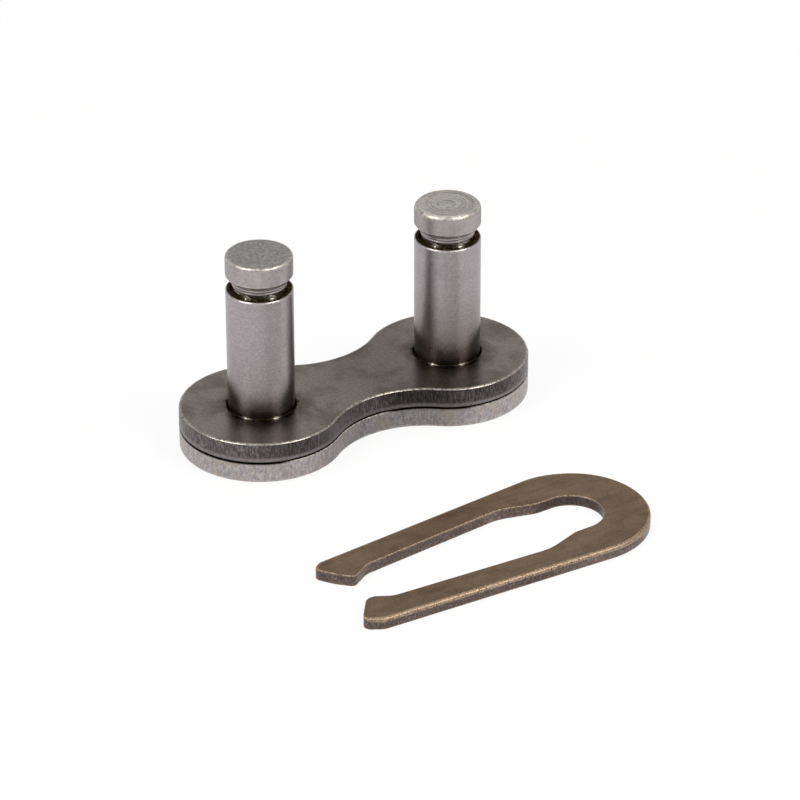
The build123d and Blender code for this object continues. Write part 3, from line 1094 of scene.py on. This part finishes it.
oilLook = makeOil()
oilPieces = []
for side in ("left", "right"):
    axisX, radius, _ = pinPlace(side + "_pin")
    for place, body, wall, level, reach, climb in (
        ("foot", "cover", radius, coverHigh.z, oilSizes["reach"], oilSizes["climb"]),
        ("groove", "pin_link", pinSizes["neckRadius"], pinSizes["shoulderLevel"],
         oilSizes["grooveReach"], oilSizes["grooveClimb"]),
    ):
        oilPieces.append((oilRing(f"{side}_{place}_oil", axisX, wall, level, reach, climb, oilLook), body))
print("oil made")


# what rides on what

for piece, nodeName, body, slotName in (
    (cover, "cover_plate", "cover", "cover_steel"), (fixed, "fixed_plate", "pin_link", "plate_steel"),
    (leftPin, "left_pin", "pin_link", "pin_steel"), (rightPin, "right_pin", "pin_link", "pin_steel"),
    (springClip, "spring_clip", "pin_link", "spring_steel"),
):
    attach(piece, body)
    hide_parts(nodeName)
for piece, body in oilPieces:
    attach(piece, body)


# floor, light and camera

studio = {
    "floorSize": 3.0, "floorDrop": 0.02, "floorColour": (0.90, 0.90, 0.90), "floorRough": 0.9,
    "floorWhite": 0.88,  # share of plain white over the floor's own shading
    "white": (1.0, 1.0, 1.0, 1.0), "worldNear": 0.6, "worldFar": 0.55,
    "lampSize": 0.15, "lampTurn": 60, "lampRise": 53, "lampDistance": 0.34, "lampRadiance": 6.5,
}


def seenRay(tree):  # 1 for what the camera sees, directly or mirrored, 0 for light on a dull surface
    path = addNode(tree, "ShaderNodeLightPath")
    mirrored = calc("MAXIMUM", path["Is Glossy Ray"], path["Is Transmission Ray"])
    return calc("MAXIMUM", path["Is Camera Ray"], mirrored)


def makeFloor():
    bm = bmesh.new()
    bmesh.ops.create_grid(bm, x_segments=1, y_segments=1, size=studio["floorSize"] / 2)
    floor = pieceFrom(bm, "floor")
    floor.location.z = -studio["floorDrop"] * mm
    material, tree, shader = newMaterial("paleFloor", studio["floorRough"])
    shader.inputs["Base Color"].default_value = (*studio["floorColour"], 1.0)
    shader.inputs["Specular IOR Level"].default_value = 0.0
    white = addNode(tree, "ShaderNodeEmission", {"Color": studio["white"], "Strength": 1.0})
    inputs = {0: seenRay(tree) * studio["floorWhite"], 1: Wire(tree, shader.outputs[0]), 2: white[0]}
    put(addNode(tree, "ShaderNodeMixShader", inputs)[0], tree.nodes["Material Output"].inputs["Surface"])
    floor.data.materials.append(material)
    return floor


def makeWorld():
    world = bpy.data.worlds.new("studio")
    world.use_nodes = True
    scene.world = world
    tree = world.node_tree
    background = tree.nodes["Background"]
    up = split(addNode(tree, "ShaderNodeTexCoord")["Generated"])["Z"]
    level = span(up, 0.05, 0.40) * (studio["worldFar"] - studio["worldNear"]) + studio["worldNear"]
    white = seenRay(tree) * span(up, 0.20, 0.10)  # all round the horizon
    put(blendValue(white, level, 1.0), background.inputs["Strength"])
    background.inputs["Color"].default_value = studio["white"]


def towards(azimuth, elevation):  # 0 degrees is the -Y side, 90 degrees the +X side
    turn, rise = radians(azimuth), radians(elevation)
    return Vector((sin(turn) * cos(rise), -cos(turn) * cos(rise), sin(rise)))


def addLamp(name, azimuth, colour):
    size = studio["lampSize"]
    lamp = bpy.data.lights.new(name, "AREA")
    lamp.shape = "SQUARE"
    lamp.size = size
    lamp.energy = studio["lampRadiance"] * pi * size * size
    lamp.color = colour
    holder = bpy.data.objects.new(name, lamp)
    away = towards(azimuth, studio["lampRise"])
    holder.location = away * studio["lampDistance"]
    holder.rotation_mode = "QUATERNION"
    holder.rotation_quaternion = away.to_track_quat("Z", "Y")
    holder.visible_camera = False
    scene.collection.objects.link(holder)


floor = makeFloor()
makeWorld()

cameraSetup = {
    "azimuth": -30.671, "elevation": 29.291, "distance": 0.26580, "aim": (0.0031344, 0.0001032, 0.0),
    "roll": -0.1033, "lens": 200.01, "sensor": 36.0,
}


def makeCamera():
    setup = cameraSetup
    turn, roll = radians(setup["azimuth"]), radians(setup["roll"])
    back = towards(setup["azimuth"], setup["elevation"])
    level = Vector((cos(turn), sin(turn), 0))
    upright = back.cross(level)
    right = level * cos(roll) + upright * sin(roll)
    up = upright * cos(roll) - level * sin(roll)
    data = bpy.data.cameras.new("camera")
    data.lens, data.sensor_width = setup["lens"], setup["sensor"]
    data.clip_start, data.clip_end = 0.01, 10
    camera = bpy.data.objects.new("camera", data)
    spot = Vector(setup["aim"]) + back * setup["distance"]
    camera.matrix_world = Matrix.Translation(spot) @ Matrix((right, up, back)).transposed().to_4x4()
    scene.collection.objects.link(camera)
    scene.camera = camera


makeCamera()
addLamp("leftSoftbox", cameraSetup["azimuth"] - studio["lampTurn"], (1.0, 0.99, 0.97))
addLamp("rightSoftbox", cameraSetup["azimuth"] + studio["lampTurn"], (1.0, 0.98, 0.95))
print("studio made")
